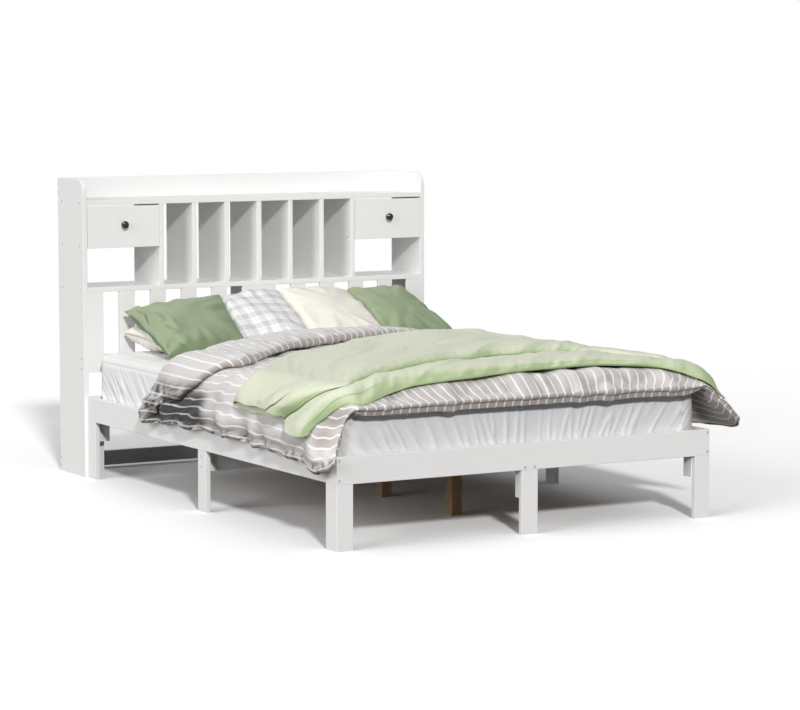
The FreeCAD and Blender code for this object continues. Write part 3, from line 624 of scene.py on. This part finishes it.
def duvet_profile(across):
    """Closed profiles of the filled duvet along the bed, one per place across it: points along the bed
    and heights above the sheet, from the foot hem over the top to the head and back underneath."""
    reach = np.abs(across)
    hem = eased(across, turned_places, turned_hem, 0.02)
    fold = eased(across, fold_places, fold_line, 0.02)
    rise = eased(across, turned_rise_places, turned_rise)
    droop = -0.037 + 0.040 * smooth_step(reach, 0.62, 0.76)
    edge = -0.016 - 0.012 * smooth_step(reach, 0.70, 0.80)
    nose = filling_rise(across, -0.020)
    seam = droop + np.minimum(flange, 0.45 * (nose - droop))
    controls = [(edge, droop), (edge - 0.005, droop + 0.001), (edge - 0.009, seam - 0.004),
                (edge - 0.011, seam), (edge - 0.019, seam + 0.25 * (nose - seam)),
                (edge - 0.020, seam + 0.60 * (nose - seam)), (edge - 0.012, seam + 0.88 * (nose - seam))]
    for along in (-0.002, 0.020, 0.045, 0.080):
        controls.append((along, filling_rise(across, along)))
    for share in np.linspace(0, 1, 13):
        along = 0.13 + share * (hem - 0.05 - 0.13)
        controls.append((along, filling_rise(across, along)))
    lower = filling_rise(across, hem)
    length = fold - hem
    groove = hem + np.minimum(0.05, 0.40 * length)
    controls.append((hem - 0.004, lower - 0.003))
    controls.append((groove, lower + 0.001))
    controls.append((hem + np.minimum(0.006, 0.1 * length), lower + 0.10 * rise))
    controls.append((hem - 0.012, lower + 0.45 * rise))
    controls.append((hem + 0.004, lower + 0.88 * rise))
    for share in (0.12, 0.30, 0.50, 0.70, 0.88):
        along = hem + np.minimum(0.03, 0.15 * length) + share * 0.85 * length
        crown = 1.10 - 0.10 * share - 0.35 * smooth_step(share, 0.5, 1.0)
        controls.append((along, lower + rise * crown))
    crown = lower + 0.60 * rise
    controls.append((fold - 0.006, crown * 0.86))
    controls.append((fold + 0.006, crown * 0.50))
    controls.append((fold - 0.006, crown * 0.14))
    controls.append((fold - 0.03, underside))
    for share in np.linspace(0, 1, 14)[1:-1]:
        controls.append((fold - 0.03 + share * (0.05 - fold + 0.03), underside))
    controls.append((0.036, underside - 0.001))
    controls.append((0.018, np.minimum(underside - 0.004, droop * 0.35)))
    controls.append((edge * 0.35, np.minimum(underside - 0.004, droop * 0.80)))
    return np.array([[np.broadcast_to(value, across.shape) for value in row] for row in controls])


def smooth_curve(controls, steps, closed=False):
    """Points on a smooth curve through the control points, the same number between each two."""
    if closed:
        before_first, after_last = controls[-1:], controls[:2]
    else:
        before_first, after_last = 2 * controls[:1] - controls[1:2], 2 * controls[-1:] - controls[-2:-1]
    padded = np.concatenate([before_first, controls, after_last])
    rows = []
    for k in range(1, len(padded) - 2):
        before, here, after, later = padded[k - 1:k + 3]
        for step in range(steps):
            t = step / steps
            rows.append(0.5 * (2 * here + (after - before) * t
                               + (2 * before - 5 * here + 4 * after - later) * t * t
                               + (3 * here - before - 3 * after + later) * t ** 3))
    if not closed:
        rows.append(controls[-1])
    return np.array(rows)


def hem_shift(across, along):
    """How much farther or nearer the side hem lies than half the duvet's width."""
    low = np.where(across < 0, eased(along, filling_places, hem_left, 0.01),
                   eased(along, filling_places, hem_right, 0.01))
    straight = bend_start + bend_radius * bend_angle
    straight_top = sheet_top - bend_radius * (1 - math.cos(bend_angle))
    low = low + 0.006 * random_field(along, 0.3 * np.sign(across), 27, 0.07, 0.20)
    length = straight + (straight_top - low) / math.sin(bend_angle)
    return (length - duvet_half) * smooth_step(np.abs(across), 0.72, duvet_half)


def from_middle(tree, place, pitch, phase=0.0):
    """How far a place is from the middle of the repeat that it is in, as a share of the pitch."""
    turns = calculate(tree, "ADD", calculate(tree, "DIVIDE", place, pitch), phase)
    return calculate(tree, "ABSOLUTE", calculate(tree, "SUBTRACT", calculate(tree, "FRACT", turns), 0.5))


def striped(tree, flat, painted_light):
    """Thin white stripes, a stripe pitch apart, on grey-brown, with painted light and a painted shadow that
    darkens both.
    """
    crosswise = add(tree, "SeparateXYZ", {0: flat}).outputs[0]
    line = ramp(tree, from_middle(tree, crosswise, stripe_pitch), (0.115, 0.075))
    # Painted light: ground and stripes are paler where the cloth faces the lit side.
    ground = blend_colour(tree, painted_light, (0.46, 0.42, 0.395, 1), (0.72, 0.695, 0.69, 1))
    white = blend_colour(tree, painted_light, (0.86, 0.83, 0.80, 1), (0.93, 0.92, 0.91, 1))
    plain = blend_colour(tree, line, ground, white)
    # Painted shadow: a near black ground and grey stripes wherever the painted shadow attribute is set.
    dark_ground = blend_colour(tree, line, (0.045, 0.043, 0.042, 1), (0.55, 0.54, 0.53, 1))
    shadow_attribute = add(tree, "Attribute", attribute_name="painted_shadow")
    return blend_colour(tree, shadow_attribute.outputs["Fac"], plain, dark_ground)


striped_cotton = cloth_material("striped_cotton", 0.0014, 0.3, colour=striped, Sheen_Weight=0.2)


def run_length(points, axis):
    """Distance along a grid of points, from its first row or column."""
    steps = np.linalg.norm(np.diff(points, axis=axis), axis=2)
    return np.concatenate([np.zeros_like(steps.take([0], axis=axis)), np.cumsum(steps, axis=axis)], axis=axis)


duvet_columns = 181
hem_thickness = 0.005
puff_depth = 0.005
fold_depth = 0.005
wrinkle_depth = 0.0012
pleat_depth = 0.004
hanging_fold_depth = 0.006
rumple_depth = 0.004
hem_flare = 0.010


def make_duvet():
    """The cover as a tube of rows across the bed, sewn shut along both side hems. It puffs, folds and
    hangs in waves of several lengths, and what hangs at the left of the turned back hem is rumpled."""
    share = np.linspace(-1, 1, duvet_columns)
    across = share * duvet_half
    curve = smooth_curve(duvet_profile(across), 6, closed=True)
    along, height = curve[:, 0], curve[:, 1]
    across = np.broadcast_to(across, along.shape)
    puffed = np.sqrt(np.clip((1 - flange / duvet_half - np.abs(share)) / flange_ease, 0, 1))
    filled = height - underside
    thin = np.minimum(filled, 0.006 + 0.2 * height)
    height = np.where(filled > 0, underside + thin * (1 - puffed) + filled * puffed, height)
    height[:, [0, -1]] = hem_thickness
    placed = across + np.sign(across) * hem_shift(across, along)
    points = lay_on_bed(placed, along, height)
    length = run_length(points, 0)
    girth = run_length(points * (1, 0, 1), 1)
    girth = girth - girth[:, duvet_columns // 2][:, None]
    girth = np.where(girth < 0, girth / np.abs(girth[:, :1]), girth / girth[:, -1:]) * duvet_girth
    flat = np.stack([girth, length], axis=-1)
    flat = np.concatenate([flat, np.stack([girth[:1], length[-1:] + 0.01], axis=-1)])
    normals = unit_normals(points, ring=True)
    outer = np.clip(smooth_step(height, 0.004, 0.02) + (along < 0.02), 0, 1)
    free = 0.35 + 0.65 * puffed
    puffs = random_field(across, length, 21, 0.16, 0.42) * puff_depth
    folds = (creases(across, length * 0.8, 22, 0.10, 0.30) - 0.6) * fold_depth
    small = random_field(across, length * 0.6, 23, 0.035, 0.09) * wrinkle_depth
    near_foot = 1 - smooth_step(np.abs(along), 0.05, 0.22)
    pleats = random_field(across, length * 0.25, 24, 0.05, 0.13) * pleat_depth * near_foot
    on_side = smooth_step(np.abs(across), 0.70, 0.82)
    hang = random_field(length, across * 0.3, 25, 0.08, 0.22) * hanging_fold_depth * on_side * puffed
    rumpled = smooth_step(-across, 0.74, 0.82) * smooth_step(along, 0.85, 1.0)
    hang = hang + random_field(length, across, 28, 0.025, 0.06) * rumple_depth * rumpled
    lift = outer * (puffs + folds + small + pleats) * free + outer * hang
    lift = np.maximum(lift, -0.6 * outer * np.maximum(height - underside, 0))
    flare = random_field(along, np.sign(across), 29, 0.11, 0.22)
    flare = flare * smooth_step(np.abs(across), 0.77, duvet_half) * smooth_step(along, 0.03, 0.18)
    points = points + normals * lift[:, :, None]
    points[:, :, 0] += np.sign(across) * hem_flare * flare
    cover = make_grid("duvet_cover", points[:, ::-1], flat[:, ::-1], striped_cotton, ring=True)
    # Painted shadow on the turned back corner, beside it under the turned back hem, and in patches along the
    # left hem.
    hem = eased(across, turned_places, turned_hem, 0.02)
    tip = smooth_step(-across, 0.72, 0.78) * outer
    patches = 0.5 + random_field(across, along, 26, 0.02, 0.07)
    crumpled = tip * smooth_step(along, hem - 0.02, hem + 0.005) * np.clip(patches * 2.2 - 0.5, 0, 1)
    beside = tip * smooth_step(along, 0.85, 0.92) * (1 - smooth_step(along, hem - 0.01, hem))
    hem_patches = smooth_step(-across, 0.855, 0.885) * np.clip(patches * 3 - 1.6, 0, 1) * 0.8
    painted_shadow = cover.data.attributes.new("painted_shadow", "FLOAT", "POINT")
    painted_shadow.data.foreach_set("value", np.clip(crumpled + beside + hem_patches, 0, 1)[:, ::-1].ravel())
    return cover


duvet_cover = make_duvet()
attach(duvet_cover, "bed")
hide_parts("duvet")


# ---------------------------------------------------------------- throw
# A soft green throw laid across the bed, gathered along its length into one deep pleat. Its head side
# band lies over the band in front, and both ends hang a little down the sides.
throw_columns = 175
throw_ends = (-0.80, 0.78)
# From the left end of the throw to its right end, distances from the foot face: its rear edge, the
# fold of the rear band over the front one, and the fold at the foot.
rear_places = (-0.80, -0.76, -0.72, -0.66, -0.50, -0.40, -0.245, 0.0, 0.205, 0.44, 0.64, 0.80)
rear_edge = (0.63, 0.62, 0.575, 0.635, 0.83, 0.90, 0.985, 1.18, 1.31, 1.44, 1.49, 1.50)
middle_places = (-0.80, -0.755, -0.715, -0.68, -0.56, -0.44, -0.265, -0.085, 0.10, 0.26, 0.44, 0.56, 0.66,
                 0.80)
middle_fold = (0.285, 0.205, 0.09, 0.045, 0.13, 0.18, 0.268, 0.345, 0.40, 0.42, 0.43, 0.375, 0.20, 0.02)
front_places = (-0.82, -0.765, -0.72, -0.65, -0.54, -0.44, -0.22, 0.03, 0.22, 0.34, 0.51, 0.57, 0.63, 0.70,
                0.80)
front_edge = (0.105, 0.065, 0.0, -0.03, -0.003, 0.015, 0.026, 0.051, 0.064, 0.066, 0.052, 0.032, 0.004,
              -0.028, -0.03)
roll_height = 0.046
band_height = 0.034
mouth_height = 0.010
throw_thickness = 0.003
above_duvet = 0.006

# The throw's two colours are its painted shade and its painted light.
green_cotton = cloth_material("green_throw", 0.0016, 0.4, (0.43, 0.54, 0.29), (0.77, 0.80, 0.63),
                              Sheen_Weight=0.2)


def make_throw():
    """The throw from its rear edge, under the rear band, forward over its fold, back under that and over
    the front band to the fold at the foot."""
    across = np.linspace(throw_ends[0], throw_ends[1], throw_columns)
    rear = eased(across, rear_places, rear_edge)
    fold = eased(across, middle_places, middle_fold)
    front = eased(across, front_places, front_edge, 0.02)
    band = np.maximum(fold - front, 0.03)
    width = rear - fold
    plump = np.clip(band / 0.16, 0.45, 1.0) * (1 - 0.5 * smooth_step(across, 0.45, 0.75))
    high = roll_height * plump
    low = throw_thickness
    # Places along the bed, heights above the duvet, and how far the left end is drawn back there.
    rows = []
    for share in (0.85, 0.5, 0.2):
        rows.append((rear - share * width, low, 0.018))
    rows.append((rear - 0.012, 0.004, 0.022))
    rows.append((rear + 0.002, 0.010, 0.030))
    rows.append((rear - 0.012, 0.016, 0.038))
    for share, level in ((0.12, 0.42), (0.30, 0.46), (0.44, 0.46), (0.52, 0.42), (0.62, 0.62), (0.73, 0.90)):
        rows.append((rear - share * width, np.maximum(high * level, 0.016), 0.038))
    rows.append((fold + 0.16 * width, high, 0.036))
    for ahead, level in ((0.075, 0.99), (0.045, 0.93), (0.018, 0.80), (0.000, 0.60), (-0.006, 0.42)):
        rows.append((fold + ahead, high * level, 0.030))
    for ahead, level in ((0.004, 0.30), (0.030, 0.24), (0.040, 0.15), (0.022, 0.12)):
        rows.append((fold + ahead, high * level, 0.022))
    crest = band_height * plump
    for share, level, pull in ((0.04, 0.30, 0.010), (0.14, 0.66, -0.006), (0.30, 0.90, -0.016),
                               (0.52, 1.0, -0.021), (0.74, 0.98, -0.018)):
        rows.append((fold - share * band, crest * level, pull))
    for ahead, level, pull in ((0.022, 0.86, -0.012), (0.004, 0.62, -0.004), (-0.003, 0.36, 0.002)):
        rows.append((front + ahead, crest * level, pull))
    rows.append((front + 0.012, low, 0.008))
    rows.append((front + 0.05, low, 0.008))
    controls = np.array([[np.broadcast_to(value, across.shape) for value in row] for row in rows])
    curve = smooth_curve(controls, 7)
    along, height, pull = curve[:, 0], curve[:, 1], curve[:, 2]
    near_end = smooth_step(-across, 0.62, 0.80)
    across = np.broadcast_to(across, along.shape)
    base = filling_rise(across, along)
    mouth = smooth_step(pull, 0.026, 0.036) * smooth_step(-across, 0.72, 0.79)
    placed = across + np.sign(across) * hem_shift(across, along) + pull * near_end
    points = lay_on_bed(placed, along, base + height + above_duvet + mouth_height * mouth)
    length = run_length(points, 0)
    flat = np.stack([across, length], axis=-1)
    normals = unit_normals(points)
    puffs = random_field(across * 0.35, length, 31, 0.12, 0.30) * 0.003
    folds = (creases(across * 0.16 + length * 0.3, length, 32, 0.12, 0.26) - 0.5) * 0.003
    small = random_field(across, length, 33, 0.03, 0.07) * 0.0008
    points = points + normals * ((puffs + folds + small) * smooth_step(height, 0.006, 0.02))[:, :, None]
    return make_grid("green_throw", points, flat, green_cotton)


green_throw = make_throw()
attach(green_throw, "bed")
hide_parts("throw")


# ---------------------------------------------------------------- cushions
# Five stuffed square cushions. Two sage green ones, a cream one and a white one with a pale grey check
# lean against the slats of the headboard, and a second cream one lies flat behind the first two. Each
# cover is two squares sewn round the edge.
case_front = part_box("centre_panel")[0][1]
check_pitch = 0.062


def checked(tree, flat, painted_light):
    """A pale grey check on white: broad bands, darker where they cross, with a thin line beside each."""
    parts = add(tree, "SeparateXYZ", {0: flat})
    total = None
    for axis in (0, 1):
        for width, phase, strength in ((0.25, 0.0, 0.34), (0.045, 0.45, 0.18)):
            away = from_middle(tree, parts.outputs[axis], check_pitch, phase)
            band = ramp(tree, away, (width, width * 0.7), (0.0, strength))
            total = band if total is None else calculate(tree, "ADD", total, band)
    # Painted light: the white is paler where the cloth faces the lit side.
    white = blend_colour(tree, painted_light, (0.86, 0.86, 0.86, 1), (0.91, 0.91, 0.905, 1))
    return blend_colour(tree, total, white, (0.47, 0.46, 0.465, 1))


# Each plain cushion cloth has a painted shade colour and a painted light colour.
sage_cotton = cloth_material("sage_cotton", 0.0012, 0.35, (0.21, 0.275, 0.16), (0.33, 0.395, 0.25),
                             Sheen_Weight=0.15)
cream_cotton = cloth_material("cream_cotton", 0.0012, 0.35, (0.82, 0.78, 0.71), (0.87, 0.84, 0.77),
                              Sheen_Weight=0.15)
plaid_cotton = cloth_material("plaid_cotton", 0.0012, 0.35, colour=checked, Sheen_Weight=0.15)
cushion_steps = 46
stuffing_power = 0.38
waist = 0.05
ray_behind = 0.2
ray_reach = 0.5
gap_between = 0.002
gap_to_slats = 0.003
gap_to_sheet = 0.004
gap_to_duvet = 0.016


def make_cushion(node, material, corners, thickness, seed, over, crumpled=0.0):
    """A stuffed square cushion hung between its four corners: head left, head right, foot right and foot
    left, each as a place across the bed, a distance in front of the slats and a height above the sheet.
    It is squeezed flat under the cushions that lie over it, and its left end may be crumpled."""
    side = np.sin(np.linspace(-1, 1, cushion_steps) * math.pi / 2)
    u, v = np.meshgrid(side, side)
    held = np.array([(x, case_front - gap, sheet_top + rise) for x, gap, rise in corners])
    size = (np.linalg.norm(held[1] - held[0]), np.linalg.norm(held[3] - held[0]))
    in_u = (1 + u * (1 - waist * (1 - v * v))) / 2
    in_v = (1 + v * (1 - waist * (1 - u * u))) / 2
    seam = sum(weight[:, :, None] * corner for weight, corner in zip(
        ((1 - in_u) * in_v, in_u * in_v, in_u * (1 - in_v), (1 - in_u) * (1 - in_v)), held))
    outward = np.cross(held[1] - held[3], held[0] - held[2])
    outward /= np.linalg.norm(outward)
    x, y = u * size[0] / 2, v * size[1] / 2
    body = ((1 - u ** 2) * (1 - v ** 2)) ** stuffing_power
    around = np.arctan2(v, u)
    near_corner = (u * v) ** 6
    gathers = (np.sin(around * 11 + seed) + np.sin(around * 17 + 2.3 * seed)) * 0.004 * body * (1 - body) * 2
    puckers = np.sin(around * 46 + seed) * 0.006 * near_corner * np.minimum(body * 3, 1)
    left_end = smooth_step(-u, 0.30, 0.75) * np.minimum(body * 2.5, 1)
    wrinkles = crumpled * (creases(x, y * 0.45, seed + 9, 0.05, 0.12) - 0.75) * left_end
    faces = []
    for face in (1, -1):
        dents = random_field(x, y, seed + face, 0.10, 0.30) * 0.005 * np.minimum(body * 2, 1)
        pulls = (creases(x, y, seed + 3 * face, 0.12, 0.35) - 0.6) * 0.004 * np.minimum(body * 2, 1)
        height = face * (thickness / 2 * body + dents + pulls + gathers + puckers + wrinkles)
        faces.append(seam + outward * height[:, :, None])
    front, back = faces
    # The front face gives way to the cushions over it, and the back one too once a fifth is left between.
    trees = [BVHTree.FromObject(other, bpy.context.evaluated_depsgraph_get()) for other in over]
    for i in range(cushion_steps):
        for j in range(cushion_steps):
            for tree in trees:
                start = back[i, j] - outward * ray_behind
                hit = tree.ray_cast(Vector(start), Vector(outward), ray_reach)[0]
                if hit is not None:
                    room = float((np.array(hit) - front[i, j]) @ outward) - gap_between
                    if room < 0:
                        full = float((front[i, j] - back[i, j]) @ outward)
                        front[i, j] += outward * room
                        back[i, j] += outward * min(room + 0.8 * full, 0)
    points = np.concatenate([front, back[-2:0:-1]])
    nearest = foot_face + eased(points[:, :, 0], fold_places, fold_line, 0.02) + gap_to_duvet
    low = points[:, :, 2] < sheet_top + 0.10
    points[:, :, 1] = np.where(low, np.maximum(points[:, :, 1], nearest), points[:, :, 1])
    points[:, :, 1] = np.minimum(points[:, :, 1], case_front - gap_to_slats)
    points[:, :, 2] = np.maximum(points[:, :, 2], sheet_top + gap_to_sheet)
    flats = np.concatenate([np.stack([x, y], -1), np.stack([x, 0.5 - y], -1)[-2::-1]])
    cushion = make_grid(node + "_cover", points[:, ::-1], flats[:, ::-1], material, ring=True)
    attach(cushion, "bed")
    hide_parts(node)
    return cushion


left_cushion = make_cushion(
    "green_cushion_left", sage_cotton,
    ((-0.594, 0.048, 0.155), (-0.193, 0.048, 0.196), (-0.262, 0.42, 0.035), (-0.600, 0.45, 0.022)), 0.115, 41,
    [], crumpled=0.022)
checked_cushion = make_cushion(
    "plaid_cushion", plaid_cotton,
    ((-0.300, 0.052, 0.185), (0.057, 0.046, 0.207), (0.062, 0.38, 0.022), (-0.262, 0.38, 0.022)), 0.115, 42,
    [left_cushion])
middle_cushion = make_cushion(
    "cream_cushion_centre", cream_cotton,
    ((-0.030, 0.050, 0.205), (0.352, 0.046, 0.197), (0.378, 0.38, 0.022), (0.050, 0.38, 0.022)), 0.120, 43,
    [left_cushion, checked_cushion])
make_cushion(
    "green_cushion_right", sage_cotton,
    ((0.250, 0.050, 0.190), (0.599, 0.046, 0.203), (0.677, 0.38, 0.022), (0.350, 0.38, 0.022)), 0.110, 44,
    [checked_cushion, middle_cushion])
make_cushion(
    "cream_cushion_left", cream_cotton,
    ((-0.585, 0.030, 0.070), (-0.240, 0.030, 0.070), (-0.240, 0.32, 0.050), (-0.570, 0.30, 0.052)), 0.130, 45,
    [left_cushion, checked_cushion])
